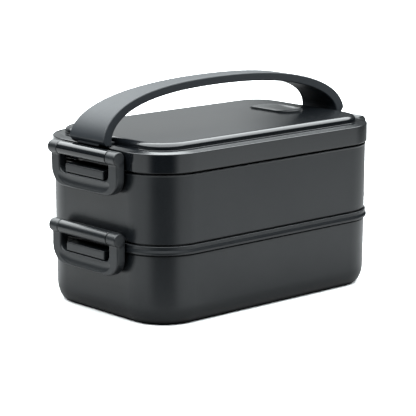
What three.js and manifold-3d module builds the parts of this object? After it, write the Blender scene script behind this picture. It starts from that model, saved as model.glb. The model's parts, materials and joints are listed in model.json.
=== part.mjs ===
// A two-tier lunch box: two stacked food tiers, a lid with a carrying strap and a steam vent,
// and four U-shaped side latches. Millimetres, +Z up, +X along the long side.
// The origin is the centre of the base, on the surface the box stands on.
import * as THREE from 'three';
import { mergeVertices } from 'three/addons/utils/BufferGeometryUtils.js';
import Module from 'manifold-3d';

const wasm = await Module();
wasm.setup();

// ---- driving dimensions -------------------------------------------------------------------

// Plan of the lid's rim. Every other wall is given by its offset from this outline,
// negative towards the inside.
const RIM = { halfLength: 95, halfWidth: 58.8, corner: 29.2 };
// Plan of the raised middle of the lid.
const PLATEAU = { halfLength: 87, halfWidth: 50.8, corner: 19.2 };
const CORNER_STEPS = 8;

const CLEARANCE = 0.35;
const RIM_WALL = 1.6;
const RIM_OUT = -1.45;
const RIM_IN = RIM_OUT - RIM_WALL;
const SKIRT_IN = RIM_OUT + CLEARANCE + 0.05;

// Heights of the lower tier, the upper tier and the lid.
const LOWER = { floor: 2.2, shoulder: 42.9, rim: 46.4, baseFillet: 7.5 };
const UPPER = { skirt: 43.4, seat: 48.6, underside: 48, band: 49.1, floor: 50.6, shoulder: 90.3, rim: 98.9 };
const LID = { skirt: 92, seat: 101.2, ledge: 103, underside: 106.7, top: 108.7, fillet: 2.4 };

// Ring seals: a flat silicone ring in the channel over each rim.
const SEAL = { out: SKIRT_IN - CLEARANCE, in: -4.65, height: 1.7 };

// Side latches. Distances are from the hinge axis of the latch.
const TIER_STEP = 48.3;
const HINGE = { x: 101.6, upperZ: 99.9, barrelRadius: 4.2, barrelHalf: 22.9, pinRadius: 1.5, pinHalf: 29.6 };
const LATCH = {
  halfWidth: 31.4,
  windowHalf: 23.25,
  front: 1.7,
  thickness: 6,
  windowDepth: 14.5,
  depth: 22.9,
  outerCorner: 11.3,
  innerCorner: 4.8,
};
const CATCH = { halfWidth: 18.1, reach: 102.7, top: 91.3, bottom: 86, lip: 3.2, relief: 1.6, chamfer: 0.6 };
const WEB = { halfWidth: 21, bottom: 98.1, top: 101.8 };

// Carrying strap: half of its side outline as a cubic curve from the apex to the foot.
const STRAP = {
  apexZ: 137,
  footX: 100.2,
  footZ: 104.2,
  apexHandle: 43.5,
  footHandle: [99.4, 131],
  apexThickness: 4,
  footThickness: 6.2,
  apexHalfWidth: 7.5,
  footHalfWidth: 15.7,
  footCorner: 3.4,
  steps: 22,
};
const HOOK = { halfWidth: 10, tip: 83.9, bottom: 104.3, top: 106, play: 0.35 };

// Steam vent: a silicone flap in a pocket of the lid, lifted at its front end.
const VENT = {
  x: 59,
  halfLength: 19.5,
  halfWidth: 10.5,
  pocketFloor: 107.6,
  top: 109.8,
  hingeY: 12.4,
  holeRadius: 3.4,
  plugRadius: 2.5,
  plugY: -2,
  stemRadius: 1.6,
  bossDepth: 1.8,
};

// ---- materials ----------------------------------------------------------------------------

const charcoal = { color: 0x484c4d, roughness: 0.42, metalness: 0 };
const satinCharcoal = { color: 0x505455, roughness: 0.5, metalness: 0 };
const softSilicone = { color: 0x6b6f70, roughness: 0.6, metalness: 0 };
const paleSilicone = { color: 0xb9bdbd, roughness: 0.6, metalness: 0 };
const steel = { color: 0xb4b6b8, roughness: 0.3, metalness: 1 };

// ---- solids -------------------------------------------------------------------------------

// Turns a closed three.js geometry into a solid that can be joined and cut.
function solid(geometry) {
  const bare = geometry.clone();
  bare.deleteAttribute('normal');
  bare.deleteAttribute('uv');
  const merged = mergeVertices(bare, 1e-4);
  const position = merged.attributes.position;
  const index = merged.index.array;
  const corner = [new THREE.Vector3(), new THREE.Vector3(), new THREE.Vector3()];
  const triangles = [];
  let volume = 0;
  for (let i = 0; i < index.length; i += 3) {
    const [a, b, c] = [index[i], index[i + 1], index[i + 2]];
    if (a === b || b === c || c === a) {
      continue;
    }
    [a, b, c].forEach((vertex, k) => corner[k].fromBufferAttribute(position, vertex));
    volume += corner[0].dot(corner[1].cross(corner[2]));
    triangles.push([a, b, c]);
  }
  const facingOut = volume > 0 ? triangles : triangles.map(([a, b, c]) => [a, c, b]);
  const vertProperties = new Float32Array(position.array);
  const triVerts = new Uint32Array(facingOut.flat());
  return new wasm.Manifold(new wasm.Mesh({ numProp: 3, vertProperties, triVerts }));
}

// Turns a solid back into a geometry for a mesh.
function geometryOf(body) {
  const { vertProperties, triVerts } = body.getMesh();
  const geometry = new THREE.BufferGeometry();
  geometry.setAttribute('position', new THREE.BufferAttribute(vertProperties, 3));
  geometry.setIndex(new THREE.BufferAttribute(triVerts, 1));
  geometry.computeVertexNormals();
  return geometry;
}

// Points of a round stretch of a profile, in degrees, both ends included.
function arc(x, y, radius, from, to, steps = 4) {
  const points = [];
  for (let i = 0; i <= steps; i += 1) {
    const angle = THREE.MathUtils.degToRad(from + ((to - from) * i) / steps);
    points.push([x + radius * Math.cos(angle), y + radius * Math.sin(angle)]);
  }
  return points;
}

// A profile of [offset, z] points swept around a rounded rectangle. The profile is turned on a
// lathe with the corner's radius, then its four quarters are moved out to the four corners.
// A solid plate or tub starts and ends on the centre line, written as [CENTRE, z].
const CENTRE = -1000;
function sweepAround(plan, profile) {
  const step = Math.PI / 2 / CORNER_STEPS;
  const points = profile.map(([offset, z]) => {
    const radius = offset === CENTRE ? 0 : (plan.corner + offset) / Math.cos(step / 2);
    return new THREE.Vector2(radius, z);
  });
  const lathe = new THREE.LatheGeometry(points, 4 * CORNER_STEPS, step / 2, 2 * Math.PI);
  lathe.rotateX(Math.PI / 2);
  const position = lathe.attributes.position;
  for (let i = 0; i < position.count; i += 1) {
    const x = position.getX(i);
    const y = position.getY(i);
    if (Math.hypot(x, y) > 1e-3) {
      position.setX(i, x + Math.sign(x) * (plan.halfLength - plan.corner));
      position.setY(i, y + Math.sign(y) * (plan.halfWidth - plan.corner));
    }
  }
  return solid(lathe);
}

// A ring with a closed profile swept around a rounded rectangle.
function ringAround(plan, profile) {
  return sweepAround(plan, [...profile, profile[0]]);
}

// A box given by its lowest and highest corners.
function block(low, high) {
  const size = high.map((value, i) => value - low[i]);
  const centre = high.map((value, i) => (value + low[i]) / 2);
  const geometry = new THREE.BoxGeometry(...size);
  geometry.translate(...centre);
  return solid(geometry);
}

// A round bar along Y.
function barAlongY(x, z, radius, fromY, toY, sides = 24) {
  const geometry = new THREE.CylinderGeometry(radius, radius, toY - fromY, sides);
  geometry.translate(0, (fromY + toY) / 2, 0);
  geometry.rotateY(Math.PI / sides);
  geometry.translate(x, 0, z);
  return solid(geometry);
}

// A round bar along Z, which may taper.
function barAlongZ(x, y, fromZ, toZ, radius, topRadius = radius, sides = 24) {
  const geometry = new THREE.CylinderGeometry(topRadius, radius, toZ - fromZ, sides);
  geometry.rotateX(Math.PI / 2);
  geometry.translate(x, y, (fromZ + toZ) / 2);
  return solid(geometry);
}

// An outline drawn in X and Z, made into a plate that reaches the same way along +Y and -Y.
function extrudeAlongY(outline, reach) {
  const geometry = new THREE.ExtrudeGeometry(outline, { depth: 2 * reach, bevelEnabled: false });
  geometry.rotateX(Math.PI / 2);
  geometry.translate(0, reach, 0);
  return solid(geometry);
}

// An outline drawn in Y and Z, made into a plate from one X to another.
function extrudeAlongX(outline, fromX, toX) {
  const geometry = new THREE.ExtrudeGeometry(outline, {
    depth: toX - fromX,
    bevelEnabled: false,
    curveSegments: 6,
  });
  const alongY = new THREE.Vector3(0, 1, 0);
  const alongZ = new THREE.Vector3(0, 0, 1);
  const alongX = new THREE.Vector3(1, 0, 0);
  geometry.applyMatrix4(new THREE.Matrix4().makeBasis(alongY, alongZ, alongX));
  geometry.translate(fromX, 0, 0);
  return solid(geometry);
}

// The mirror image of a solid on the other short end.
function onOtherEnd(body) {
  return body.mirror([1, 0, 0]);
}

function onBothEnds(body) {
  return body.add(onOtherEnd(body));
}

// ---- tiers --------------------------------------------------------------------------------

// The tongue that a closed latch hooks under, on both ends of a tier. Its side outline has a
// chamfered nose and is relieved behind the lip that the latch bears on.
function catchTongues(drop) {
  const { halfWidth, reach, top, bottom, lip, relief, chamfer } = CATCH;
  const wall = RIM.halfLength + RIM_OUT - 0.4;
  const outline = new THREE.Shape([
    new THREE.Vector2(-wall, top),
    new THREE.Vector2(-reach + chamfer, top),
    new THREE.Vector2(-reach, top - chamfer),
    new THREE.Vector2(-reach, bottom + chamfer),
    new THREE.Vector2(-reach + chamfer, bottom),
    new THREE.Vector2(-reach + lip, bottom),
    new THREE.Vector2(-reach + lip + relief, bottom + relief),
    new THREE.Vector2(-wall, bottom + relief),
  ]);
  return onBothEnds(extrudeAlongY(outline, halfWidth).translate([0, 0, -drop]));
}

// The hinge barrel on its web, on both ends, bored for the pin. The web ends inside the wall.
function withHingeBarrels(body, drop, wallX) {
  const z = HINGE.upperZ - drop;
  const barrel = barAlongY(-HINGE.x, z, HINGE.barrelRadius, -HINGE.barrelHalf, HINGE.barrelHalf);
  const web = block([-HINGE.x, -WEB.halfWidth, WEB.bottom - drop], [-wallX, WEB.halfWidth, WEB.top - drop]);
  const boreHalf = HINGE.barrelHalf + 1;
  const bore = barAlongY(-HINGE.x, z, HINGE.pinRadius + CLEARANCE, -boreHalf, boreHalf);
  return body.add(onBothEnds(barrel.add(web))).subtract(onBothEnds(bore));
}

function lowerTier() {
  const { floor, shoulder, rim, baseFillet } = LOWER;
  const profile = [
    [CENTRE, 0],
    ...arc(-1.24 - baseFillet, baseFillet, baseFillet, -90, 0),
    [-0.76, shoulder - 0.5],
    [-1, shoulder],
    [RIM_OUT, shoulder],
    [RIM_OUT, rim - 0.3],
    [RIM_OUT - 0.3, rim],
    [RIM_IN + 0.3, rim],
    [RIM_IN, rim - 0.3],
    ...arc(-3.7 - 7, floor + 7, 7, 0, -90),
    [CENTRE, floor],
  ];
  return sweepAround(RIM, profile).add(catchTongues(TIER_STEP));
}

function upperTier() {
  const { skirt, seat, underside, band, floor, shoulder, rim } = UPPER;
  const profile = [
    [CENTRE, underside],
    [-6.6, underside],
    [-6.5, underside - 2.4],
    [-5.1, underside - 2.4],
    [-5, seat],
    [SKIRT_IN, seat],
    [SKIRT_IN, skirt],
    [0.66, skirt],
    [0.96, skirt + 0.3],
    [-0.12, band - 0.5],
    [-0.5, band],
    [-1.6, band + 0.2],
    [-1.5, band + 0.7],
    [-0.84, band + 1.7],
    [-0.57, shoulder - 0.9],
    [-0.25, shoulder - 0.5],
    [-0.45, shoulder],
    [RIM_OUT, shoulder],
    [RIM_OUT, rim - 0.3],
    [RIM_OUT - 0.3, rim],
    [RIM_IN + 0.3, rim],
    [RIM_IN, rim - 0.3],
    ...arc(-3.6 - 6, floor + 6, 6, 0, -90),
    [CENTRE, floor],
  ];
  const tub = sweepAround(RIM, profile).add(catchTongues(0));
  return withHingeBarrels(tub, TIER_STEP, RIM.halfLength - 2);
}

function seal(seatZ) {
  const { out, height } = SEAL;
  const top = seatZ - CLEARANCE + 0.05;
  const low = top - height;
  return ringAround(RIM, [
    [SEAL.in, low],
    [out - 0.3, low],
    [out, low + 0.3],
    [out, top - 0.3],
    [out - 0.3, top],
    [SEAL.in, top],
  ]);
}

// ---- lid ----------------------------------------------------------------------------------

// Outline of the steam vent, grown by a margin, as an upright stadium.
function ventOutline(margin) {
  const { halfLength, halfWidth } = VENT;
  const radius = halfWidth + margin;
  const straight = halfLength - halfWidth;
  const shape = new THREE.Shape();
  shape.absarc(0, straight, radius, 0, Math.PI);
  shape.absarc(0, -straight, radius, Math.PI, 2 * Math.PI);
  shape.closePath();
  return shape;
}

function ventSlab(margin, low, high) {
  const geometry = new THREE.ExtrudeGeometry(ventOutline(margin), {
    depth: high - low,
    bevelEnabled: false,
    curveSegments: 12,
  });
  geometry.translate(VENT.x, 0, low);
  return solid(geometry);
}

function lid() {
  const { skirt, seat, ledge, underside, top, fillet } = LID;
  const wall = 2;
  const rimRing = ringAround(RIM, [
    [-9.3, seat],
    [-6.6, seat],
    [-6.5, seat - 3.3],
    [-5.1, seat - 3.3],
    [-5, seat],
    [SKIRT_IN, seat],
    [SKIRT_IN, skirt],
    [0.6, skirt],
    [0.9, skirt + 0.3],
    [0, ledge - 0.5],
    [-0.4, ledge],
    [-9.3, ledge],
  ]);
  const plateau = sweepAround(PLATEAU, [
    [CENTRE, underside],
    ...arc(-wall - 1, underside - 1, 1, 90, 0, 2),
    [-wall, seat],
    [0.2, seat],
    [0.2, ledge + 0.2],
    ...arc(-fillet, top - fillet, fillet, 0, 90),
    [CENTRE, top],
  ]);
  const boss = ventSlab(1.6, underside - VENT.bossDepth, underside + 0.3);
  const pocket = ventSlab(CLEARANCE, VENT.pocketFloor, top + 1);
  const ventHole = barAlongZ(VENT.x, VENT.plugY, 100, top, VENT.holeRadius);
  const stemHole = barAlongZ(VENT.x, stemY(), 100, top, VENT.stemRadius + CLEARANCE);
  const hookWindow = block(
    [-(PLATEAU.halfLength + 1), -HOOK.halfWidth - HOOK.play, HOOK.bottom - HOOK.play],
    [-(PLATEAU.halfLength - wall - 1), HOOK.halfWidth + HOOK.play, HOOK.top + HOOK.play],
  );
  const shell = rimRing.add(plateau).add(boss);
  const cut = shell.subtract(pocket).subtract(ventHole).subtract(stemHole);
  return withHingeBarrels(cut.subtract(onBothEnds(hookWindow)), 0, RIM.halfLength - 0.65);
}

// ---- steam vent ---------------------------------------------------------------------------

// The stem that holds the vent down stands midway between the fold and the pocket's end.
function stemY() {
  return (VENT.hingeY + VENT.halfLength) / 2 - 0.6;
}

function ventPad() {
  return ventSlab(0, VENT.pocketFloor + 0.3, VENT.top);
}

// The part of the vent that lifts, with its plug and the scoop for a fingertip.
function ventFlap() {
  const reach = 40;
  const beyondFold = block(
    [VENT.x - reach, VENT.hingeY - 0.2, VENT.pocketFloor - 5],
    [VENT.x + reach, VENT.hingeY + reach, VENT.top + 5],
  );
  const scoop = new THREE.SphereGeometry(1, 32, 16);
  scoop.scale(7.2, 11, 1.5);
  scoop.translate(VENT.x + 2, -6, VENT.top);
  const plugEnd = VENT.pocketFloor - 3;
  const plugRoot = VENT.pocketFloor + 0.6;
  const plug = barAlongZ(VENT.x, VENT.plugY, plugEnd, plugRoot, VENT.plugRadius - 0.5, VENT.plugRadius);
  return ventPad().subtract(beyondFold).add(plug).subtract(solid(scoop));
}

// The fixed end of the vent, with the stem that passes through the lid.
function ventAnchor() {
  const reach = 40;
  const beforeFold = block(
    [VENT.x - reach, -reach, VENT.pocketFloor - 5],
    [VENT.x + reach, VENT.hingeY + 0.2, VENT.top + 5],
  );
  const stemEnd = LID.underside - VENT.bossDepth - 0.4;
  const stem = barAlongZ(VENT.x, stemY(), stemEnd - 1.2, VENT.pocketFloor + 0.6, VENT.stemRadius);
  const head = barAlongZ(VENT.x, stemY(), stemEnd - 1.2, stemEnd, 1.6, 2.6);
  return ventPad().subtract(beforeFold).add(stem).add(head);
}

// ---- carrying strap -----------------------------------------------------------------------

function strap() {
  const { apexZ, footX, footZ, apexHandle, footHandle, apexThickness, footThickness, steps } = STRAP;
  const apex = new THREE.Vector2(0, apexZ);
  const apexPull = new THREE.Vector2(apexHandle, apexZ);
  const footPull = new THREE.Vector2(...footHandle);
  const foot = new THREE.Vector2(footX, footZ);
  const half = new THREE.CubicBezierCurve(apex, apexPull, footPull, foot);
  const outer = [];
  const inner = [];
  for (let i = 0; i <= steps; i += 1) {
    const t = i / steps;
    const point = half.getPoint(t);
    const tangent = half.getTangent(t);
    const thickness = apexThickness + (footThickness - apexThickness) * t ** 3;
    outer.push(point);
    inner.push(new THREE.Vector2(point.x + tangent.y * thickness, point.y - tangent.x * thickness));
  }
  inner[steps].y = footZ;
  const rightSide = [...outer, ...inner.reverse()];
  const leftSide = rightSide.map((point) => new THREE.Vector2(-point.x, point.y)).reverse();
  const outline = new THREE.Shape([...rightSide.slice(0, -1), inner[steps], ...leftSide.slice(1, -1)]);
  const arch = extrudeAlongY(outline, STRAP.footHalfWidth + 2);
  const hook = block(
    [-(footX - 2), -HOOK.halfWidth, HOOK.bottom],
    [-HOOK.tip, HOOK.halfWidth, HOOK.top],
  );
  return arch.intersect(strapPlan()).intersect(strapEnds()).add(onBothEnds(hook));
}

// Rounds the lower corners of the strap's feet, seen from the short end.
function strapEnds() {
  const { apexZ, footX, footZ, footHalfWidth, footCorner } = STRAP;
  const reach = footHalfWidth + 4;
  const side = footHalfWidth + 0.2;
  const shape = new THREE.Shape();
  shape.moveTo(reach, apexZ + 1);
  shape.lineTo(-reach, apexZ + 1);
  shape.lineTo(-reach, footZ + 3 * footCorner);
  shape.lineTo(-side, footZ + footCorner);
  shape.absarc(-side + footCorner, footZ + footCorner, footCorner, Math.PI, 1.5 * Math.PI);
  shape.absarc(side - footCorner, footZ + footCorner, footCorner, 1.5 * Math.PI, 2 * Math.PI);
  shape.lineTo(reach, footZ + 3 * footCorner);
  shape.closePath();
  return extrudeAlongX(shape, -footX - 5, footX + 5);
}

// The strap's plan: narrow over the middle of the lid and widening to its two feet.
function strapPlan() {
  const { footX, apexHalfWidth, footHalfWidth, steps } = STRAP;
  const halfWidthAt = (x) => apexHalfWidth + (footHalfWidth - apexHalfWidth) * Math.abs(x / footX) ** 2.8;
  const edge = [];
  for (let i = -steps; i <= steps; i += 1) {
    const x = ((footX + 4) * i) / steps;
    edge.push(new THREE.Vector2(x, -halfWidthAt(x)));
  }
  const otherEdge = edge.map((point) => new THREE.Vector2(point.x, -point.y)).reverse();
  const geometry = new THREE.ExtrudeGeometry(new THREE.Shape([...edge, ...otherEdge]), {
    depth: 60,
    bevelEnabled: false,
  });
  geometry.translate(0, 0, 90);
  return solid(geometry);
}

// ---- latches ------------------------------------------------------------------------------

// A U-shaped latch on the left end, about its own hinge axis at the origin.
function latch() {
  const { halfWidth, windowHalf, front, thickness, windowDepth, depth, outerCorner, innerCorner } = LATCH;
  const shape = new THREE.Shape();
  shape.moveTo(halfWidth, 0);
  shape.lineTo(windowHalf, 0);
  const innerY = windowHalf - innerCorner;
  const innerZ = -windowDepth + innerCorner;
  shape.absarc(innerY, innerZ, innerCorner, 0, -Math.PI / 2, true);
  shape.absarc(-innerY, innerZ, innerCorner, -Math.PI / 2, -Math.PI, true);
  shape.lineTo(-windowHalf, 0);
  shape.lineTo(-halfWidth, 0);
  const outerY = halfWidth - outerCorner;
  const outerZ = -depth + outerCorner;
  shape.absarc(-outerY, outerZ, outerCorner, Math.PI, 1.5 * Math.PI);
  shape.absarc(outerY, outerZ, outerCorner, 1.5 * Math.PI, 2 * Math.PI);
  shape.closePath();
  const plate = extrudeAlongX(shape, -front, thickness - front);
  const ear = barAlongY(0, 0, HINGE.barrelRadius, windowHalf, halfWidth);
  const bore = barAlongY(0, 0, HINGE.pinRadius + CLEARANCE, windowHalf - 2, HINGE.pinHalf + 0.4);
  const fingerGroove = barAlongY(-front - 5.2, -17.9, 6, -windowHalf + 1, windowHalf - 1, 32);
  const bothSides = (body) => body.add(body.mirror([0, 1, 0]));
  return plate.add(bothSides(ear)).subtract(bothSides(bore)).subtract(fingerGroove);
}

function hingePin() {
  return barAlongY(0, 0, HINGE.pinRadius, -HINGE.pinHalf, HINGE.pinHalf);
}

// ---- assembly -----------------------------------------------------------------------------

function meshOf(name, body, finish) {
  const mesh = new THREE.Mesh(geometryOf(body), new THREE.MeshStandardMaterial(finish));
  mesh.name = name;
  return mesh;
}

// The two latches and their pins on one level, each in a group on its own hinge axis.
function latchPair(level, axisZ) {
  const pair = new THREE.Group();
  [['left', -1], ['right', 1]].forEach(([side, sign]) => {
    const station = new THREE.Group();
    station.position.set(sign * HINGE.x, 0, axisZ);
    const frame = sign < 0 ? latch() : onOtherEnd(latch());
    station.add(meshOf(`${level}_latch_${side}`, frame, satinCharcoal));
    station.add(meshOf(`${level}_hinge_pin_${side}`, hingePin(), steel));
    pair.add(station);
  });
  return pair;
}

const group = new THREE.Group();
group.add(meshOf('lower_container', lowerTier(), charcoal));
group.add(meshOf('upper_container', upperTier(), charcoal));
group.add(meshOf('tier_seal', seal(UPPER.seat), paleSilicone));
group.add(meshOf('lid', lid(), charcoal));
group.add(meshOf('lid_seal', seal(LID.seat), paleSilicone));
group.add(meshOf('vent_flap', ventFlap(), softSilicone));
group.add(meshOf('vent_anchor', ventAnchor(), softSilicone));
group.add(meshOf('carrying_strap', strap(), satinCharcoal));
group.add(latchPair('upper', HINGE.upperZ));
group.add(latchPair('lower', HINGE.upperZ - TIER_STEP));

export default group;
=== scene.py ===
"""Looks of a two-tier lunch box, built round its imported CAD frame.

The build functions work in millimetres in the CAD's frame (+Z up, +X along the long side,
-Y towards the front), and a mesh becomes metres when its object is made. Heights, hinge axes
and the reach of each piece are read from the CAD nodes and joints, and the details are drawn
from them.
"""

import json
import math

import bmesh
import bpy
import numpy as np
from mathutils import Matrix, Vector


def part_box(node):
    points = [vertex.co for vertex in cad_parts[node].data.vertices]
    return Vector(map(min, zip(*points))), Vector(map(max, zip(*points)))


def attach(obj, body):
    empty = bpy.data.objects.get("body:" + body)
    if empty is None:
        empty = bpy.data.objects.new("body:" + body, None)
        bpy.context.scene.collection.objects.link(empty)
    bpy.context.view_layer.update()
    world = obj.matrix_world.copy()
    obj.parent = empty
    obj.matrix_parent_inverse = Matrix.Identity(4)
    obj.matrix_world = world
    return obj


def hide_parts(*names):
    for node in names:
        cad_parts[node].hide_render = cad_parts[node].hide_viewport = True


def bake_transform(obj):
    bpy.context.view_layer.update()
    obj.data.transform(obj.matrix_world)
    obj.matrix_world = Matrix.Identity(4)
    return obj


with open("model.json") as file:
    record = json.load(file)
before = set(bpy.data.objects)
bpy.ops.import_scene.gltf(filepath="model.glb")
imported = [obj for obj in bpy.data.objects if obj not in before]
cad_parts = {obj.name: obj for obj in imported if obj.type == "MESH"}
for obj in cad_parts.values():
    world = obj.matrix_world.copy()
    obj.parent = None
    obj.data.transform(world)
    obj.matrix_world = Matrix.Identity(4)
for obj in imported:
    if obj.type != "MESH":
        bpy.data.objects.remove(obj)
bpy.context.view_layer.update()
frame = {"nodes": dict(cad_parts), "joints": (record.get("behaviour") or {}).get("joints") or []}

MM = 0.001


# ---- datum from the CAD -----------------------------------------------------------------


def box_mm(node):
    low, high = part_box(node)
    return low / MM, high / MM


def joint_place(name):
    joint = next(j for j in frame["joints"] if j["name"] == name)
    return Vector(joint["pos_m"]) / MM


lid_low, lid_high = box_mm("lid")
upper_low, upper_high = box_mm("upper_container")
lower_low, lower_high = box_mm("lower_container")
strap_high = box_mm("carrying_strap")[1]
vent_low, vent_high = box_mm("vent_flap")

# The lid's rim outline. Other walls are given by their offset from it, negative inwards.
HALF_LENGTH = 95.0
HALF_WIDTH = 58.8
RIM_CORNER = 29.2
LEDGE_WIDTH = 8.0
PLATEAU_CORNER = 19.2

UPPER_AXIS = joint_place("upper_latch_left_swing")
LOWER_AXIS = joint_place("lower_latch_left_swing")
HINGE_X = abs(UPPER_AXIS.x)
TIER_STEP = UPPER_AXIS.z - LOWER_AXIS.z
BARREL_RADIUS = 4.2
BARREL_HALF = 22.9
PIN_BORE = 1.85


# ---- mesh kit ---------------------------------------------------------------------------


def new_object(name, points, faces):
    mesh = bpy.data.meshes.new(name)
    mesh.from_pydata((np.asarray(points, float) * MM).tolist(), [], faces)
    mesh.update()
    bm = bmesh.new()
    bm.from_mesh(mesh)
    bmesh.ops.recalc_face_normals(bm, faces=bm.faces)
    bm.to_mesh(mesh)
    bm.free()
    obj = bpy.data.objects.new(name, mesh)
    bpy.context.scene.collection.objects.link(obj)
    return obj


def circle(count):
    """The angles that divide a full turn into count steps."""
    return [2 * math.pi * k / count for k in range(count)]


def loft(name, rings):
    """A skin over rings of equal point counts, closed by a flat cap at each end."""
    size, count = len(rings[0]), len(rings)
    faces = []
    for i in range(count - 1):
        a, b = i * size, (i + 1) * size
        for j in range(size):
            k = (j + 1) % size
            faces.append((a + j, a + k, b + k, b + j))
    faces.append(tuple(range(size)))
    faces.append(tuple((count - 1) * size + j for j in range(size)))
    return new_object(name, np.concatenate(rings), faces)


def rounded_path(points, closed=False, steps=5):
    """Rounds a polyline's corners: each point is (u, v, radius)."""
    count = len(points)
    out = []
    for i, (u, v, radius) in enumerate(points):
        here = np.array([u, v], float)
        if radius <= 0 or (not closed and i in (0, count - 1)):
            out.append(here)
            continue
        before = np.array(points[i - 1][:2], float) - here
        after = np.array(points[(i + 1) % count][:2], float) - here
        la, lb = np.linalg.norm(before), np.linalg.norm(after)
        before, after = before / la, after / lb
        angle = math.acos(float(np.clip(before @ after, -1, 1)))
        if math.pi - angle < 0.02:
            out.append(here)
            continue
        reach = min(radius / math.tan(angle / 2), la * 0.49, lb * 0.49)
        fitted = reach * math.tan(angle / 2)
        middle = before + after
        centre = here + middle / np.linalg.norm(middle) * fitted / math.sin(angle / 2)
        start, end = here + before * reach - centre, here + after * reach - centre
        turn = math.atan2(start[0] * end[1] - start[1] * end[0], float(start @ end))
        for k in range(steps + 1):
            a = turn * k / steps
            c, s = math.cos(a), math.sin(a)
            out.append(centre + np.array([c * start[0] - s * start[1], s * start[0] + c * start[1]]))
    return out


def rounded_rectangle(half_x, half_y, radius, corner_steps=18, side_steps=6):
    """The plan's points, anticlockwise from the end of the +X side."""
    points = []
    for quadrant in range(4):
        sx = 1 if quadrant in (0, 3) else -1
        sy = 1 if quadrant in (0, 1) else -1
        cx, cy = sx * (half_x - radius), sy * (half_y - radius)
        for i in range(corner_steps + 1):
            a = math.pi / 2 * (quadrant + i / corner_steps)
            points.append((cx + radius * math.cos(a), cy + radius * math.sin(a)))
        nq = (quadrant + 1) % 4
        nx = (1 if nq in (0, 3) else -1) * (half_x - radius)
        ny = (1 if nq in (0, 1) else -1) * (half_y - radius)
        a = math.pi / 2 * (quadrant + 1)
        end = (nx + radius * math.cos(a), ny + radius * math.sin(a))
        last = points[-1]
        for i in range(1, side_steps):
            t = i / side_steps
            points.append((last[0] + (end[0] - last[0]) * t, last[1] + (end[1] - last[1]) * t))
    return np.array(points)


def body_ring(offset, z):
    """The box's plan at an offset from the rim. The ledge narrows a little at the corners."""
    tighter = min(max((-offset - 1) / (LEDGE_WIDTH - 1), 0), 1)
    corner = RIM_CORNER + offset - tighter * (RIM_CORNER - LEDGE_WIDTH - PLATEAU_CORNER)
    plan = rounded_rectangle(HALF_LENGTH + offset, HALF_WIDTH + offset, max(corner, 1.5))
    return np.column_stack([plan, np.full(len(plan), z)])


def body_loft(name, profile):
    """A shell of the box from a profile of (offset, z, fillet radius) corners."""
    return loft(name, [body_ring(u, v) for u, v in rounded_path(profile)])


def cylinder_y(name, x, z, radius, y0, y1, edge=0.0, sides=56):
    """A bar along Y, its ends rounded by edge."""
    profile = []
    steps = 5 if edge else 0
    for i in range(steps + 1):
        a = math.pi / 2 * (i / steps if steps else 1)
        profile.append((y0 + edge * (1 - math.cos(a)), radius - edge * (1 - math.sin(a))))
    rest = [(y0 + y1 - y, r) for y, r in reversed(profile)]
    rings = []
    for y, r in profile + rest:
        rings.append(np.array([(x + r * math.sin(a), y, z + r * math.cos(a)) for a in circle(sides)]))
    return loft(name, rings)


def cylinder_z(name, x, y, stations, sides=40):
    """A round bar along Z through (z, radius) stations."""
    rings = []
    for z, r in stations:
        rings.append(np.array([(x + r * math.cos(a), y + r * math.sin(a), z) for a in circle(sides)]))
    return loft(name, rings)


def block(name, low, high, edge=0.0):
    """A box between two corners, its edges rounded by edge."""
    xs, ys, zs = zip(low, high)
    corners = [(x, y, z) for x in xs for y in ys for z in zs]
    faces = [(0, 1, 3, 2), (4, 6, 7, 5), (0, 4, 5, 1), (2, 3, 7, 6), (0, 2, 6, 4), (1, 5, 7, 3)]
    obj = new_object(name, corners, faces)
    if edge:
        bm = bmesh.new()
        bm.from_mesh(obj.data)
        bmesh.ops.bevel(bm, geom=bm.edges[:], offset=edge * MM, segments=3, profile=0.5, affect="EDGES")
        bm.to_mesh(obj.data)
        bm.free()
    return obj


def prism_y(name, outline, half_width, edge, steps=4):
    """An outline in X and Z drawn along Y, its two ends rounded off by edge."""
    points = np.array(outline)
    rings = []
    turn = [math.pi / 2 * i / steps for i in range(steps + 1)]
    marks = [(half_width - edge + edge * math.cos(a), edge - edge * math.sin(a)) for a in turn]
    normals = outline_normals(points)
    for y, inset in marks:
        moved = points - normals * inset
        rings.append(np.column_stack([moved[:, 0], np.full(len(moved), -y), moved[:, 1]]))
    for y, inset in reversed(marks):
        moved = points - normals * inset
        rings.append(np.column_stack([moved[:, 0], np.full(len(moved), y), moved[:, 1]]))
    return loft(name, rings)


def outline_normals(points):
    """Outward normals at the corners of a closed outline, long enough to offset its edges."""
    area = 0.5 * np.sum(points[:, 0] * np.roll(points[:, 1], -1) - np.roll(points[:, 0], -1) * points[:, 1])
    sign = 1.0 if area > 0 else -1.0
    ahead = np.roll(points, -1, axis=0) - points
    ahead /= np.linalg.norm(ahead, axis=1)[:, None]
    behind = np.roll(ahead, 1, axis=0)
    na = np.column_stack([ahead[:, 1], -ahead[:, 0]]) * sign
    nb = np.column_stack([behind[:, 1], -behind[:, 0]]) * sign
    mean = na + nb
    mean /= np.linalg.norm(mean, axis=1)[:, None]
    cosine = np.clip(np.sum(mean * na, axis=1), 0.5, 1)
    return mean / cosine[:, None]


def delete(obj):
    mesh = obj.data
    bpy.data.objects.remove(obj)
    bpy.data.meshes.remove(mesh)


def apply_modifiers(obj):
    """Replaces the mesh by what its modifiers make of it."""
    bpy.context.view_layer.update()
    graph = bpy.context.evaluated_depsgraph_get()
    mesh = bpy.data.meshes.new_from_object(obj.evaluated_get(graph), depsgraph=graph)
    obj.modifiers.clear()
    old = obj.data
    obj.data = mesh
    bpy.data.meshes.remove(old)
    return obj


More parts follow.
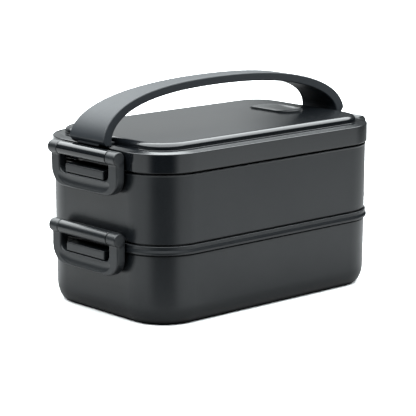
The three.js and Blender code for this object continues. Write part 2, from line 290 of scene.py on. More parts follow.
def combine(obj, tool, operation):
    """Joins or cuts obj with tool, which is used up."""
    modifier = obj.modifiers.new("cut", "BOOLEAN")
    modifier.operation = operation
    modifier.solver = "EXACT"
    modifier.object = tool
    apply_modifiers(obj)
    delete(tool)
    return obj


def add(obj, tool):
    return combine(obj, tool, "UNION")


def cut(obj, tool):
    return combine(obj, tool, "DIFFERENCE")


def mirrored(obj, name, axis=0):
    """A mirror image across X = 0 or Y = 0."""
    copy = bpy.data.objects.new(name, obj.data.copy())
    bpy.context.scene.collection.objects.link(copy)
    scale = [1, 1, 1]
    scale[axis] = -1
    copy.data.transform(Matrix.Diagonal((*scale, 1)))
    copy.data.flip_normals()
    return copy


def on_both_ends(obj, operation, tool):
    """Uses a tool made for the left end on both ends."""
    other = mirrored(tool, tool.name + "_other")
    combine(obj, tool, operation)
    combine(obj, other, operation)


def smooth_shade(obj, angle=32.0, weighted=True):
    """Smooth shading with edges kept sharp above an angle in degrees."""
    mesh = obj.data
    mesh.polygons.foreach_set("use_smooth", [True] * len(mesh.polygons))
    mesh.set_sharp_from_angle(angle=math.radians(angle))
    if weighted:
        modifier = obj.modifiers.new("even_normals", "WEIGHTED_NORMAL")
        modifier.keep_sharp = True
        modifier.weight = 80
    return obj


# ---- materials --------------------------------------------------------------------------


class Nodes:
    """Shorthand for building a node tree."""

    def __init__(self, tree):
        self.tree = tree
        tree.nodes.clear()

    def add(self, kind, **inputs):
        node = self.tree.nodes.new(kind)
        for key, value in inputs.items():
            self.feed(node, key, value)
        return node

    def feed(self, node, key, value):
        """Sets an input, or links it where the value is another node's output."""
        socket = node.inputs[key]
        if isinstance(value, bpy.types.NodeSocket):
            self.tree.links.new(value, socket)
        else:
            socket.default_value = value

    def math(self, operation, a, b=0.0, c=None, clamp=False):
        node = self.tree.nodes.new("ShaderNodeMath")
        node.operation = operation
        node.use_clamp = clamp
        self.feed(node, 0, a)
        self.feed(node, 1, b)
        if c is not None:
            self.feed(node, 2, c)
        return node.outputs[0]

    def span(self, value, from_low, from_high, to_low=0.0, to_high=1.0):
        """Eases from to_low to to_high while the value crosses its span."""
        node = self.tree.nodes.new("ShaderNodeMapRange")
        node.interpolation_type = "SMOOTHSTEP"
        self.feed(node, 0, value)
        for i, v in enumerate((from_low, from_high, to_low, to_high)):
            self.feed(node, i + 1, v)
        return node.outputs[0]

    def noise(self, coords, scale, detail, roughness):
        node = self.tree.nodes.new("ShaderNodeTexNoise")
        self.feed(node, "Vector", coords)
        self.feed(node, "Scale", scale)
        self.feed(node, "Detail", detail)
        self.feed(node, "Roughness", roughness)
        return node.outputs[0]

    def vector_math(self, operation, a, b=None):
        node = self.tree.nodes.new("ShaderNodeVectorMath")
        node.operation = operation
        self.feed(node, 0, a)
        if b is not None:
            self.feed(node, 1, b)
        return node.outputs["Value" if operation in ("DOT_PRODUCT", "LENGTH") else "Vector"]


# Painted shade in recesses: how far, in metres, a nearby surface counts as shading a recess,
# and how open the recess has to be to be fully lit. The shade dims colour and gloss alike.
RECESS_SHADE_REACH = 0.007
RECESS_SHADE_DARK, RECESS_SHADE_LIT = 0.15, 0.62
RECESS_SHADE_REST = 0.04
GRAIN_DEPTH = 0.00006
EDGE_PALING = 0.35


def moulded_plastic(
    name,
    color,
    roughness,
    grain,
    grain_scale=2600.0,
    edge=0.00035,
    haze=0.05,
    specular=0.5,
    top=None,
    # under: the share of the gloss that undersides keep, a painted shade under things
    under=1.0,
):
    """Polypropylene: fine spark grain, slow changes of gloss where it was handled, and
    edges that are softly rounded and a little paler. Recesses are painted dark, a painted
    shade from an occlusion test that dims their colour and gloss. Flat tops can have a
    roughness of their own, and undersides keep only a share of the gloss, a painted shade."""
    material = bpy.data.materials.new(name)
    material.use_nodes = True
    n = Nodes(material.node_tree)
    out = n.add("ShaderNodeOutputMaterial")
    shader = n.add("ShaderNodeBsdfPrincipled")
    coords = n.add("ShaderNodeTexCoord").outputs["Object"]

    rounded = n.add("ShaderNodeBevel")
    rounded.samples = 4
    n.feed(rounded, "Radius", edge)
    geometry = n.add("ShaderNodeNewGeometry")
    bend = n.vector_math("DOT_PRODUCT", rounded.outputs[0], geometry.outputs["Normal"])
    # edges a little paler in colour and a little rougher
    edge_band = n.span(bend, 0.98, 0.80)

    cloud = n.noise(coords, 24.0, 4.0, 0.55)
    mottle = n.noise(coords, 210.0, 3.0, 0.6)
    fine = n.noise(coords, grain_scale, 2.0, 0.6)
    tone = n.math("MULTIPLY_ADD", n.math("SUBTRACT", cloud, 0.5), 0.10, 1.0)
    tone = n.math("ADD", tone, n.math("MULTIPLY", n.math("SUBTRACT", mottle, 0.5), 0.05))
    tone = n.math("ADD", tone, n.math("MULTIPLY", edge_band, EDGE_PALING))
    upright = n.add("ShaderNodeSeparateXYZ", Vector=geometry.outputs["True Normal"]).outputs[2]
    base = roughness if top is None else n.span(upright, 0.90, 0.99, roughness, top)
    gloss = n.math("MULTIPLY_ADD", n.math("SUBTRACT", cloud, 0.5), haze * 2.4, base)
    gloss = n.math("ADD", gloss, n.math("MULTIPLY", n.math("SUBTRACT", mottle, 0.5), haze))
    gloss = n.math("ADD", gloss, n.math("MULTIPLY", edge_band, 0.05), clamp=True)

    # painted shade: an occlusion test darkens the colour and the gloss in recesses, seams and beside the
    # latches
    open_air = n.add("ShaderNodeAmbientOcclusion")
    open_air.samples = 16
    n.feed(open_air, "Distance", RECESS_SHADE_REACH)
    painted_recess_shade = n.span(open_air.outputs["AO"], RECESS_SHADE_DARK, RECESS_SHADE_LIT, RECESS_SHADE_REST, 1.0)
    tinted = n.vector_math("SCALE", color)
    n.feed(tinted.node, "Scale", n.math("MULTIPLY", tone, painted_recess_shade))

    bump = n.add("ShaderNodeBump")
    n.feed(bump, "Strength", grain)
    n.feed(bump, "Distance", GRAIN_DEPTH)
    n.feed(bump, "Height", fine)
    n.feed(bump, "Normal", rounded.outputs[0])
    n.feed(shader, "Base Color", tinted)
    n.feed(shader, "Roughness", gloss)
    # painted shade: the gloss falls in recesses and, by the share under, on undersides
    shine = n.math("MULTIPLY", painted_recess_shade, n.span(upright, -0.45, -0.10, specular * under, specular))
    n.feed(shader, "Specular IOR Level", shine)
    n.feed(shader, "Normal", bump.outputs[0])
    n.tree.links.new(shader.outputs[0], out.inputs[0])
    return material


def silicone(name, color, roughness):
    """Soft rubber: a faint sheen and a very fine skin."""
    material = bpy.data.materials.new(name)
    material.use_nodes = True
    n = Nodes(material.node_tree)
    out = n.add("ShaderNodeOutputMaterial")
    shader = n.add("ShaderNodeBsdfPrincipled")
    coords = n.add("ShaderNodeTexCoord").outputs["Object"]
    cloud = n.noise(coords, 60.0, 3.0, 0.5)
    fine = n.noise(coords, 3200.0, 2.0, 0.5)
    tinted = n.vector_math("SCALE", color)
    n.feed(tinted.node, "Scale", n.math("MULTIPLY_ADD", n.math("SUBTRACT", cloud, 0.5), 0.16, 1.0))
    bump = n.add("ShaderNodeBump")
    n.feed(bump, "Strength", 0.25)
    n.feed(bump, "Distance", 0.00005)
    n.feed(bump, "Height", fine)
    n.feed(shader, "Base Color", tinted)
    n.feed(shader, "Roughness", n.math("MULTIPLY_ADD", cloud, 0.12, roughness - 0.06))
    n.feed(shader, "Sheen Weight", 0.15)
    n.feed(shader, "Sheen Roughness", 0.4)
    n.feed(shader, "Normal", bump.outputs[0])
    n.tree.links.new(shader.outputs[0], out.inputs[0])
    return material


def drawn_steel(name):
    """Stainless wire: fine scratches along the pin."""
    material = bpy.data.materials.new(name)
    material.use_nodes = True
    n = Nodes(material.node_tree)
    out = n.add("ShaderNodeOutputMaterial")
    shader = n.add("ShaderNodeBsdfPrincipled")
    coords = n.add("ShaderNodeTexCoord").outputs["Object"]
    along = n.vector_math("MULTIPLY", coords, (1.0, 0.03, 1.0))
    lines = n.noise(along, 4200.0, 3.0, 0.6)
    n.feed(shader, "Base Color", (0.60, 0.60, 0.61, 1))
    n.feed(shader, "Metallic", 1.0)
    n.feed(shader, "Roughness", n.math("MULTIPLY_ADD", lines, 0.18, 0.20))
    bump = n.add("ShaderNodeBump")
    n.feed(bump, "Strength", 0.2)
    n.feed(bump, "Distance", 0.00003)
    n.feed(bump, "Height", lines)
    n.feed(shader, "Normal", bump.outputs[0])
    n.tree.links.new(shader.outputs[0], out.inputs[0])
    return material


CHARCOAL = (0.0050, 0.0062, 0.0076)
GLOSSY_CHARCOAL = (0.0038, 0.0047, 0.0058)
GRAINED_CHARCOAL = (0.008, 0.0095, 0.011)
BLUISH_CHARCOAL = (0.0065, 0.0092, 0.0125)

wall_plastic = moulded_plastic("wall_plastic", CHARCOAL, 0.31, 0.10, edge=0.00025)
lid_plastic = moulded_plastic(
    "lid_plastic", GLOSSY_CHARCOAL, 0.14, 0.04, haze=0.02, edge=0.0002, top=0.18
)
latch_plastic = moulded_plastic("latch_plastic", GRAINED_CHARCOAL, 0.38, 0.35, grain_scale=1900.0)
# the strap's undersides keep a quarter of the gloss: a painted shade under its arch
strap_plastic = moulded_plastic(
    "strap_plastic", BLUISH_CHARCOAL, 0.52, 0.30, grain_scale=2200.0, under=0.25
)
vent_silicone = silicone("vent_silicone", (0.009, 0.0105, 0.012), 0.30)
seal_silicone = silicone("seal_silicone", (0.55, 0.57, 0.57), 0.5)
pin_steel = drawn_steel("pin_steel")


def finish(obj, material, slot, body, *nodes):
    """Gives a built piece its material and its body, and hides the CAD nodes it stands for. The slot is not
    used.
    """
    obj.data.materials.clear()
    obj.data.materials.append(material)
    obj.data.polygons.foreach_set("material_index", [0] * len(obj.data.polygons))
    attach(obj, body)
    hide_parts(*nodes)
    return obj


# ---- tiers ------------------------------------------------------------------------------

# Offsets from the lid's rim outline: the middle of the box, where flats end in a cap, the two
# faces of a tier's rim, and the inner face of the skirts that go round the rims.
FAR_IN = -48.0
RIM_OUT = -1.45
RIM_IN = -3.05
SKIRT_IN = -1.05
FLOOR_THICKNESS = 2.2
TONGUE_REACH = 102.7
TONGUE_HALF_WIDTH = 18.1


def catch_tongues(obj, drop):
    """The tongue on each short end that a closed latch hooks under."""
    wall = HALF_LENGTH + RIM_OUT - 0.6
    reach = TONGUE_REACH
    top, bottom = 91.3 - drop, 86.0 - drop
    outline = rounded_path(
        [
            (-wall, top, 0),
            (-reach, top, 0.9),
            (-reach, bottom - 0.25, 0.9),
            (-reach + 3.2, bottom - 0.25, 0.3),
            (-reach + 4.8, bottom + 1.6, 0.3),
            (-wall, bottom + 1.6, 0),
        ],
        closed=True,
    )
    on_both_ends(obj, "UNION", prism_y("tongue", outline, TONGUE_HALF_WIDTH, edge=0.7))


def hinge_barrels(obj, axis_z, wall_x):
    """The barrel between the latch's ears, on its web, on each short end."""
    web = block("web", (-HINGE_X, -21, axis_z - 1.8), (-wall_x, 21, axis_z + 1.9), edge=0.7)
    on_both_ends(obj, "UNION", web)
    barrel = cylinder_y("barrel", -HINGE_X, axis_z, BARREL_RADIUS, -BARREL_HALF, BARREL_HALF, edge=0.45)
    on_both_ends(obj, "UNION", barrel)
    bore = cylinder_y("bore", -HINGE_X, axis_z, PIN_BORE, -BARREL_HALF - 1, BARREL_HALF + 1, sides=24)
    on_both_ends(obj, "DIFFERENCE", bore)


def elliptic_turn(offset, z0, inwards, upwards, steps=10):
    """A quarter of an ellipse from a flat at z0 into a wall at an offset. The wall goes up
    from the flat, or down where upwards is negative."""
    turn = []
    for i in range(steps + 1):
        a = math.pi / 2 * i / steps
        turn.append((offset - inwards * (1 - math.sin(a)), z0 + upwards * (1 - math.cos(a)), 0))
    return turn


def lower_tier():
    """The lower container, with its tongues."""
    z0, rim = lower_low.z, lower_high.z
    tub = body_loft(
        "lower_tub",
        [
            (FAR_IN, z0, 0),
            *elliptic_turn(-1.2, z0, 7.0, 12.5),
            (-0.76, rim - 4.1, 0.3),
            (-1.0, rim - 3.5, 0.2),
            (RIM_OUT, rim - 3.5, 0),
            (RIM_OUT, rim, 0.4),
            (RIM_IN, rim, 0.4),
            *reversed(elliptic_turn(-3.1, z0 + FLOOR_THICKNESS, 7.0, 12.0)),
            (FAR_IN, z0 + FLOOR_THICKNESS, 0),
        ],
    )
    catch_tongues(tub, TIER_STEP)
    smooth_shade(tub)
    return finish(tub, wall_plastic, "tier_plastic", "lower_tier", "lower_container")


def upper_tier():
    """The upper container: a skirt round the lower rim, a seal groove under its floor, the
    lower latches' barrels and its own tongues."""
    skirt, rim = upper_low.z, upper_high.z
    tub = body_loft(
        "upper_tub",
        [
            (FAR_IN, skirt + 4.6, 0),
            (-6.6, skirt + 4.6, 0.2),
            (-6.5, skirt + 2.2, 0.3),
            (-5.1, skirt + 2.2, 0.3),
            (-5.0, skirt + 5.2, 0.2),
            (SKIRT_IN, skirt + 5.2, 0.2),
            (SKIRT_IN, skirt, 0.2),
            (0.72, skirt, 0.5),
            (0.72, skirt + 1.5, 0.9),
            (0.14, skirt + 3.0, 0.9),
            (0.10, skirt + 5.15, 0.28),
            (-1.9, skirt + 5.15, 0.15),
            (-1.9, skirt + 6.1, 0.15),
            (-0.80, skirt + 6.3, 0.3),
            (-0.57, rim - 8.9, 0.3),
            (-0.35, rim - 8.5, 0.2),
            (-0.37, rim - 8.0, 0.3),
            (-2.3, rim - 8.0, 0),
            (-2.3, rim - 5.4, 0),
            (RIM_OUT, rim - 5.4, 0),
            (RIM_OUT, rim, 0.4),
            (RIM_IN, rim, 0.4),
            (-3.9, skirt + 7.2, 6.0),
            (FAR_IN, skirt + 7.2, 0),
        ],
    )
    catch_tongues(tub, 0)
    hinge_barrels(tub, LOWER_AXIS.z, HALF_LENGTH - 2)
    smooth_shade(tub)
    return finish(tub, wall_plastic, "tier_plastic", "upper_tier", "upper_container")


# ---- lid --------------------------------------------------------------------------------

VENT_X = (vent_low.x + vent_high.x) / 2
VENT_HALF_LENGTH = -vent_low.y
VENT_TOP = vent_high.z
POCKET_FLOOR = VENT_TOP - 2.2
FOLD_Y = joint_place("vent_flap_lift").y
VENT_LEFT, VENT_RIGHT = vent_low.x + 0.5, vent_high.x - 0.2
VENT_NEAR = vent_low.y + 4.4
VENT_ROUND = (VENT_RIGHT - VENT_LEFT) / 2 - 0.15
STEM_Y = (FOLD_Y + VENT_HALF_LENGTH) / 2 - 0.6
PLUG_Y = -2.0
WINDOW_HALF_WIDTH = 10.35


def vent_plan(margin=0.0, shrink=0.0):
    """The vent's outline: straight sides, a round near end and a tighter far left corner. It
    grows by margin, or shrinks by a share of the way to its spine."""
    corners = [
        (VENT_RIGHT, VENT_HALF_LENGTH, 8.0),
        (VENT_LEFT, VENT_HALF_LENGTH, 3.2),
        (VENT_LEFT + 0.3, VENT_NEAR, VENT_ROUND),
        (VENT_RIGHT, VENT_NEAR, VENT_ROUND),
    ]
    outline = np.array(rounded_path(corners, closed=True, steps=18))
    spine = np.column_stack(
        [
            np.full(len(outline), VENT_X),
            np.clip(outline[:, 1], VENT_NEAR + VENT_ROUND, VENT_HALF_LENGTH - VENT_ROUND),
        ]
    )
    arm = outline - spine
    reach = np.linalg.norm(arm, axis=1)[:, None]
    return spine + arm * (1 - shrink) * (1 + margin / reach)


def vent_slab(name, stations):
    """A slab over (margin, z) stations of the vent's outline."""
    rings = []
    for margin, z in stations:
        plan = vent_plan(margin)
        rings.append(np.column_stack([plan, np.full(len(plan), z)]))
    return loft(name, rings)


def lid():
    """The lid: a skirt, a seal groove, a sloping ledge and a raised middle with the vent's
    pocket, a window for the strap's hook at each end, and the upper latches' barrels."""
    skirt, top = lid_low.z, lid_high.z
    ledge, seat, under = top - 5.7, top - 7.5, top - 2.0
    shell = body_loft(
        "lid_shell",
        [
            (FAR_IN, under, 0),
            (-LEDGE_WIDTH - 2, under, 1.0),
            (-LEDGE_WIDTH - 2, seat, 0.3),
            (-6.6, seat, 0.2),
            (-6.5, seat - 3.3, 0.3),
            (-5.1, seat - 3.3, 0.3),
            (-5.0, seat, 0.2),
            (SKIRT_IN, seat, 0.2),
            (SKIRT_IN, skirt + 0.3, 0.2),
            (0.48, skirt + 0.3, 0.4),
            (0.42, ledge + 0.45, 0.45),
            (-4.4, ledge + 1.35, 2.0),
            (-LEDGE_WIDTH + 0.1, ledge + 1.35, 0.3),
            *reversed(elliptic_turn(-LEDGE_WIDTH + 0.05, top - 0.15, 4.0, -2.7)),
            (FAR_IN, top, 0),
        ],
    )
    boss = vent_slab("boss", [(1.6, under - 1.8), (1.6, under + 0.3)])
    add(shell, boss)
    pocket = [(0.35, POCKET_FLOOR), (0.35, top - 0.35), (0.7, top + 0.01), (0.7, top + 1)]
    cut(shell, vent_slab("pocket", pocket))
    inside = 100
    vent_hole, stem_hole = 3.4, 1.95
    cut(shell, cylinder_z("vent_hole", VENT_X, PLUG_Y, [(inside, vent_hole), (top, vent_hole)]))
    cut(shell, cylinder_z("stem_hole", VENT_X, STEM_Y, [(inside, stem_hole), (top, stem_hole)], sides=24))
    window = block(
        "window", (-88, -WINDOW_HALF_WIDTH, ledge + 0.95), (-84, WINDOW_HALF_WIDTH, ledge + 3.35)
    )
    on_both_ends(shell, "DIFFERENCE", window)
    hinge_barrels(shell, UPPER_AXIS.z, HALF_LENGTH - 0.65)
    smooth_shade(shell)
    return finish(shell, lid_plastic, "lid_plastic", "lid", "lid")


def vent():
    """The silicone vent in one piece: a pad with a finger dish, a plug and a stem."""

    def height(x, y, inward):
        """The pad's top: a finger dish that is deepest on its far right, and a raised near
        lip. The distance inward is from the pad's outline."""
        u, v = x - VENT_X - 2.6, y + 3.6
        deep, across = (0.667 * u + 0.745 * v) / 5.6, (0.745 * u - 0.667 * v) / 7.8
        rise = max(0.0, 1 - deep * deep - across * across)
        dish = 1.4 * min(1.0, 2.6 * rise) * (0.62 + 0.38 * deep)
        near = 1 / (1 + math.exp((y + 7.0) / 1.2))
        lip = 0.30 * near * math.exp(-(((inward - 1.5) / 0.9) ** 2))
        crown = 0.15 * min(1.0, inward / 4.0)
        return VENT_TOP + 0.05 - dish + lip + crown

    rings = []
    edge = 0.35
    for z in (POCKET_FLOOR + 0.3, VENT_TOP + 0.05 - edge):
        plan = vent_plan()
        rings.append(np.column_stack([plan, np.full(len(plan), z)]))
    for i in range(1, 6):
        a = math.pi / 2 * i / 5
        inset, drop = edge * (1 - math.cos(a)), edge * (1 - math.sin(a))
        rings.append(np.array([(x, y, height(x, y, inset) - drop) for x, y in vent_plan(-inset)]))
    count = 30
    for i in range(1, count + 1):
        shrink = 0.985 * i / count
        plan = vent_plan(-edge * (1 - i / count), shrink)
        rings.append(np.array([(x, y, height(x, y, edge + shrink * VENT_ROUND)) for x, y in plan]))
    pad = loft("steam_vent", rings)
    floor = POCKET_FLOOR + 0.6
    plug = [(POCKET_FLOOR - 3, 1.7), (POCKET_FLOOR - 2.6, 2.1), (floor, 2.5)]
    add(pad, cylinder_z("plug", VENT_X, PLUG_Y, plug))
    end = lid_high.z - 4.2
    stem = [(end - 1.2, 1.6), (end, 2.6), (end + 0.01, 1.6), (floor, 1.6)]
    add(pad, cylinder_z("stem", VENT_X, STEM_Y, stem))
    smooth_shade(pad, angle=40, weighted=False)
    pad.data.materials.clear()
    pad.data.materials.append(vent_silicone)
    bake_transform(pad)
    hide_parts("vent_flap", "vent_anchor")
    return pad


# ---- carrying strap ---------------------------------------------------------------------


def cubic(p0, p1, p2, p3, t):
    """A Bezier curve's point and unit slope at t."""
    s = 1 - t
    point = s**3 * p0 + 3 * s * s * t * p1 + 3 * s * t * t * p2 + t**3 * p3
    slope = 3 * s * s * (p1 - p0) + 6 * s * t * (p2 - p1) + 3 * t * t * (p3 - p2)
    return point, slope / np.linalg.norm(slope)


def strap():
    """The carrying strap: an arch in the plane Y = 0, wider and thicker at the feet, with a
    hook inside each foot."""
    apex_z, foot_z = strap_high.z, lid_high.z - 4.5
    foot_x = strap_high.x + 1.2
    half_foot, half_apex = strap_high.y + 0.6, 7.5
    thick_apex, thick_foot = 5.2, 7.2
    p0, p1 = np.array([0, apex_z]), np.array([46.0, apex_z])
    p2, p3 = np.array([foot_x - 0.3, 132.0]), np.array([foot_x, foot_z])
    corner, edge = 1.7, 0.8
    stations = []
    samples = 90
    lengths = [0.0]
    line = [cubic(p0, p1, p2, p3, i / samples) for i in range(samples + 1)]
    for a, b in zip(line, line[1:]):
        lengths.append(lengths[-1] + float(np.linalg.norm(b[0] - a[0])))
    total = lengths[-1]
    straight = total - corner
    marks = list(np.linspace(0, straight - 3, 48)) + list(np.linspace(straight - 2, straight, 3))
    marks += [straight + corner * math.sin(math.pi / 2 * i / 7) for i in range(1, 8)]
    for s in marks:
        i = int(np.searchsorted(lengths, s))
        i = min(max(i, 1), samples)
        f = (s - lengths[i - 1]) / (lengths[i] - lengths[i - 1])
        point = line[i - 1][0] * (1 - f) + line[i][0] * f
        slope = line[i - 1][1] * (1 - f) + line[i][1] * f
        slope = slope / np.linalg.norm(slope)
        t = (i - 1 + f) / samples
        thick = thick_apex + (thick_foot - thick_apex) * t**3
        width = half_apex + (half_foot - half_apex) * abs(point[0] / foot_x) ** 2.8
        left = total - s
        if left < corner:
            width -= corner - math.sqrt(max(corner**2 - (corner - left) ** 2, 0.0))
        stations.append((point, slope, thick, width, left))

    def section(point, slope, thick, width, left):
        """A flat section with rounded edges. Its outer face tucks in near the foot's end."""
        inward = np.array([slope[1], -slope[0]])
        tuck = 0.95 * (math.hypot(max(0.0, 4.4 - left), 0.5) - 0.5)
        corners = [(-width, 0), (width, 0), (width, thick), (-width, thick)]
        ring = rounded_path([(y, depth, edge) for y, depth in corners], closed=True)
        out = []
        for y, depth in ring:
            shift = depth + tuck * (1 - depth / thick)
            q = point + inward * shift
            out.append((q[0], y, q[1]))
        return np.array(out)

    right = [section(*s) for s in stations]
    left = [r * np.array([-1, 1, 1]) for r in right[1:]]
    arch = loft("strap_band", list(reversed(left)) + right)
    hook = block("hook", (-foot_x + 2, -10, foot_z + 0.1), (-83.9, 10, foot_z + 1.8), edge=0.4)
    on_both_ends(arch, "UNION", hook)
    smooth_shade(arch, angle=38)
    return finish(arch, strap_plastic, "strap_plastic", "carrying_strap", "carrying_strap")


# ---- latches ----------------------------------------------------------------------------


def latch_shape():
    """One U-shaped latch of the left end, about its own hinge axis: a plate with a window and
    two round ears, a thumb groove along its lower bar, and a bore in each ear."""
    half, window = 31.4, 23.25
    front, back = -1.7, 4.3
    bottom, sill = -22.9, -14.5
    outline = rounded_path(
        [
            (half, 0, 0),
            (half, bottom, 11.3),
            (-half, bottom, 11.3),
            (-half, 0, 0),
            (-window, 0, 0),
            (-window, sill, 4.8),
            (window, sill, 4.8),
            (window, 0, 0),
        ],
        closed=True,
        steps=12,
    )
    points = np.array(outline)
    normals = outline_normals(points)
    edge = 0.9
    rings = []
    for i in range(5):
        a = math.pi / 2 * i / 4
        inset, depth = edge * (1 - math.sin(a)), edge * (1 - math.cos(a))
        moved = points - normals * inset
        rings.append(np.column_stack([np.full(len(moved), front + depth), moved]))
    for i in range(4):
        a = math.pi / 2 * i / 3
        inset, depth = 0.5 * (1 - math.cos(a)), 0.5 * (1 - math.sin(a))
        moved = points - normals * inset
        rings.append(np.column_stack([np.full(len(moved), back - depth), moved]))
    plate = loft("latch_plate", rings)
    for side in (-1, 1):
        ends = sorted((side * (window - 0.12), side * (half + 0.35)))
        add(plate, cylinder_y("ear", 0, 0, BARREL_RADIUS, ends[0], ends[1], edge=0.7))
    groove = []
    groove_half = 25.0
    for i in range(-10, 11):
        y = groove_half * math.sin(math.pi / 2 * i / 10)
        radius = 6.4 - 1.3 * abs(y / groove_half) ** 5
        lift = 2.2 * abs(y / groove_half) ** 4
        x, z = -6.9, -18.3 + lift
        ring = [(x + radius * math.sin(a), y, z + radius * math.cos(a)) for a in circle(48)]
        groove.append(np.array(ring))
    cut(plate, loft("groove", groove))
    bore = cylinder_y("bore", 0, 0, PIN_BORE, 21, 30, sides=24)
    other = mirrored(bore, "bore_other", axis=1)
    cut(plate, bore)
    cut(plate, other)
    remesh = plate.modifiers.new("even", "REMESH")
    remesh.mode = "VOXEL"
    remesh.voxel_size = 0.34 * MM
    soften = plate.modifiers.new("soften", "SMOOTH")
    soften.factor = 0.5
    soften.iterations = 5
    apply_modifiers(plate)
    return plate


def latches():
    """The four latches, the right ones mirrored."""
    shape = latch_shape()
    for level, axis in (("upper", UPPER_AXIS), ("lower", LOWER_AXIS)):
        for side, sign in (("left", -1), ("right", 1)):
            name = f"{level}_latch_{side}"
            piece = bpy.data.objects.new(name + "_frame", shape.data.copy())
            bpy.context.scene.collection.objects.link(piece)
            if sign > 0:
                piece.data.transform(Matrix.Diagonal((-1, 1, 1, 1)))
                piece.data.flip_normals()
            piece.data.transform(Matrix.Translation((sign * HINGE_X * MM, 0, axis.z * MM)))
            smooth_shade(piece, angle=60, weighted=False)
            finish(piece, latch_plastic, "latch_plastic", name, name)
    delete(shape)


# ---- carried-over CAD nodes -------------------------------------------------------------


def carry_over():
    """Gives the pins and the seals, which keep their CAD mesh, a material."""
    for name, node in frame["nodes"].items():
        if node.hide_render:
            continue
        if "pin" in name:
            material, slot = pin_steel, "pin_steel"
        else:
            material, slot = seal_silicone, "seal_silicone"
        node.data.materials.clear()
        node.data.materials.append(material)


# ---- studio -----------------------------------------------------------------------------

CAMERA_AZIMUTH = math.radians(-41.84)
CAMERA_ELEVATION = math.radians(11.93)
CAMERA_DISTANCE = 1.19963
FOCAL_PIXELS = 1901.5
IMAGE_SIDE = 416
AIM_HEIGHT = 0.060
AIM_LEFT = 0.00299
AIM_DOWN = 0.00788

# Radiance of the soft light, the table, its dark part, the room, and the room's pale part.
SOFT_LIGHT = 6.2
TABLE_LIGHT, TABLE_GAP = 1.58, 0.02
ROOM_LIGHT, ROOM_BEHIND = 0.09, 0.67


def camera():
    """The photo's viewpoint, solved from the box's outlines."""
    az, el = CAMERA_AZIMUTH, CAMERA_ELEVATION
    back = Vector((math.sin(az) * math.cos(el), -math.cos(az) * math.cos(el), math.sin(el)))
    right = Vector((math.cos(az), math.sin(az), 0))
    up = back.cross(right)
    target = Vector((0, 0, AIM_HEIGHT)) - right * AIM_LEFT - up * AIM_DOWN
    data = bpy.data.cameras.new("camera")
    data.sensor_width = 36
    data.lens = FOCAL_PIXELS / IMAGE_SIDE * 36
    data.clip_start, data.clip_end = 0.01, 100
    obj = bpy.data.objects.new("camera", data)
    obj.matrix_world = Matrix.Translation(target + back * CAMERA_DISTANCE) @ Matrix(
        ((right.x, up.x, back.x, 0), (right.y, up.y, back.y, 0), (right.z, up.z, back.z, 0), (0, 0, 0, 1))
    )
    bpy.context.scene.collection.objects.link(obj)
    bpy.context.scene.camera = obj


def floor():
    """A pale disc, 12 m in radius, just under the box."""
    radius = 12.0 / MM
    points = [(radius * math.cos(a), radius * math.sin(a), 0) for a in circle(96)]
    obj = new_object("floor", points, [tuple(range(96))])
    obj.location.z = lower_low.z * MM - 0.0001
    material = bpy.data.materials.new("pale_floor")
    material.use_nodes = True
    n = Nodes(material.node_tree)
    out = n.add("ShaderNodeOutputMaterial")
    path = n.add("ShaderNodeLightPath")

    # painted contact shadow: darker near the box for every ray but the camera's
    place = n.add("ShaderNodeNewGeometry").outputs["Position"]
    outside = n.vector_math("SUBTRACT", n.vector_math("ABSOLUTE", place), (0.095, 0.059, 1.0))
    outside = n.vector_math("MAXIMUM", outside, (0, 0, 0))
    distance = n.vector_math("LENGTH", outside)
    seen = path.outputs["Is Camera Ray"]
    shade = n.span(distance, 0.0, 0.05, 0.19, 0.32)
    tone = n.math("MULTIPLY_ADD", seen, n.math("SUBTRACT", 0.82, shade), shade)
    matt = n.add("ShaderNodeBsdfDiffuse")
    n.feed(matt, "Color", tone)

    # reflections see it only near the box, less so in front of the camera, and the world's
    # white table beyond
    camera_side = (math.sin(CAMERA_AZIMUTH), -math.cos(CAMERA_AZIMUTH), 0)
    toward_camera = n.vector_math("DOT_PRODUCT", n.vector_math("NORMALIZE", place), camera_side)
    near = n.span(distance, 0.04, 0.12, 1.0, 0.0)
    facing = n.span(toward_camera, 0.80, 0.97, 0.0, 0.65)
    facing = n.math("MULTIPLY", facing, n.span(distance, 0.01, 0.05))
    near = n.math("MULTIPLY", near, n.math("SUBTRACT", 1.0, facing))
    clear = n.add("ShaderNodeBsdfTransparent")
    choose = n.add("ShaderNodeMixShader")
    n.feed(choose, 0, n.math("MULTIPLY", path.outputs["Is Glossy Ray"], n.math("SUBTRACT", 1.0, near)))
    n.tree.links.new(matt.outputs[0], choose.inputs[1])
    n.tree.links.new(clear.outputs[0], choose.inputs[2])
    n.tree.links.new(choose.outputs[0], out.inputs[0])
    obj.data.materials.append(material)


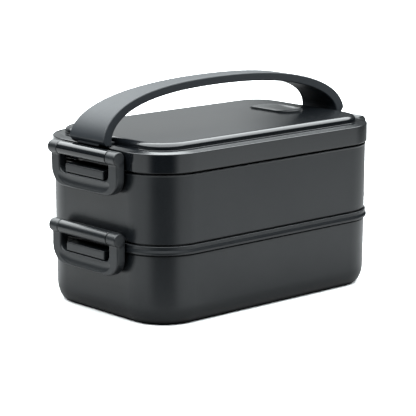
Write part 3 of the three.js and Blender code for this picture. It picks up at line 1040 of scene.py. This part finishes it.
def studio():
    """An overhead soft light, a white table seen only in reflections, and a dark room round
    the horizon and behind the camera."""
    world = bpy.data.worlds.new("studio")
    bpy.context.scene.world = world
    world.use_nodes = True
    n = Nodes(world.node_tree)
    out = n.add("ShaderNodeOutputWorld")
    direction = n.vector_math("NORMALIZE", n.add("ShaderNodeTexCoord").outputs["Generated"])
    split = n.add("ShaderNodeSeparateXYZ")
    n.feed(split, 0, direction)
    height = split.outputs[2]
    flat = n.vector_math("NORMALIZE", n.vector_math("MULTIPLY", direction, (1, 1, 0)))
    az = CAMERA_AZIMUTH
    toward_camera = n.vector_math("DOT_PRODUCT", flat, (math.sin(az), -math.cos(az), 0))
    toward_right = n.vector_math("DOT_PRODUCT", flat, (1, 0, 0))

    # the table: white on both sides, dark in front of the camera, ending below the horizon
    # and a little lower towards +X
    gap = n.span(toward_camera, math.cos(math.radians(42)), math.cos(math.radians(18)))
    gap = n.math("MULTIPLY", gap, n.span(height, -0.34, -0.22, 0.75, 1.0))
    table = n.math("MULTIPLY_ADD", gap, TABLE_GAP - TABLE_LIGHT, TABLE_LIGHT)
    edge = n.math("MULTIPLY_ADD", n.span(toward_right, 0.70, 1.0), 0.05, height)
    table = n.math("MULTIPLY", table, n.span(edge, -0.18, -0.09, 1.0, 0.0))

    # the room above it: pale behind the box to just right of the view's middle, dark elsewhere
    behind = n.span(toward_camera, -0.92, -0.55, 1.0, 0.0)
    toward_side = n.vector_math("DOT_PRODUCT", flat, (math.cos(az), math.sin(az), 0))
    behind = n.math("MULTIPLY", behind, n.span(toward_side, 0.015, 0.055, 1.0, 0.04))
    room = n.math("MULTIPLY_ADD", behind, ROOM_BEHIND - ROOM_LIGHT, ROOM_LIGHT)
    room = n.math("MULTIPLY", room, n.span(height, 0.03, 0.15, 0.15, 1.0))
    above = n.span(height, -0.05, 0.0)
    low = n.math("ADD", table, n.math("MULTIPLY", room, above))

    # the soft light: a round one overhead, leaning away from the camera
    lean = math.radians(4)
    centre = (-math.sin(az) * math.sin(lean), math.cos(az) * math.sin(lean), math.cos(lean))
    toward_soft = n.vector_math("DOT_PRODUCT", direction, centre)
    soft = n.span(toward_soft, math.cos(math.radians(62)), math.cos(math.radians(50)))
    light = n.math("MULTIPLY_ADD", soft, SOFT_LIGHT, low)
    glow = n.add("ShaderNodeBackground")
    n.feed(glow, "Strength", light)
    n.feed(glow, "Color", (0.955, 1.0, 1.012, 1))
    plain = n.add("ShaderNodeBackground")
    n.feed(plain, "Color", (1.0, 1.0, 1.0, 1))
    n.feed(plain, "Strength", 1.0)
    choose = n.add("ShaderNodeMixShader")
    n.tree.links.new(n.add("ShaderNodeLightPath").outputs["Is Camera Ray"], choose.inputs[0])
    n.tree.links.new(glow.outputs[0], choose.inputs[1])
    n.tree.links.new(plain.outputs[0], choose.inputs[2])
    n.tree.links.new(choose.outputs[0], out.inputs[0])
    settings = bpy.context.scene.view_settings
    settings.view_transform = "Standard"
    settings.look = "None"


lower_tier()
upper_tier()
lid()
vent()
strap()
latches()
carry_over()
camera()
floor()
studio()

bpy.context.view_layer.update()
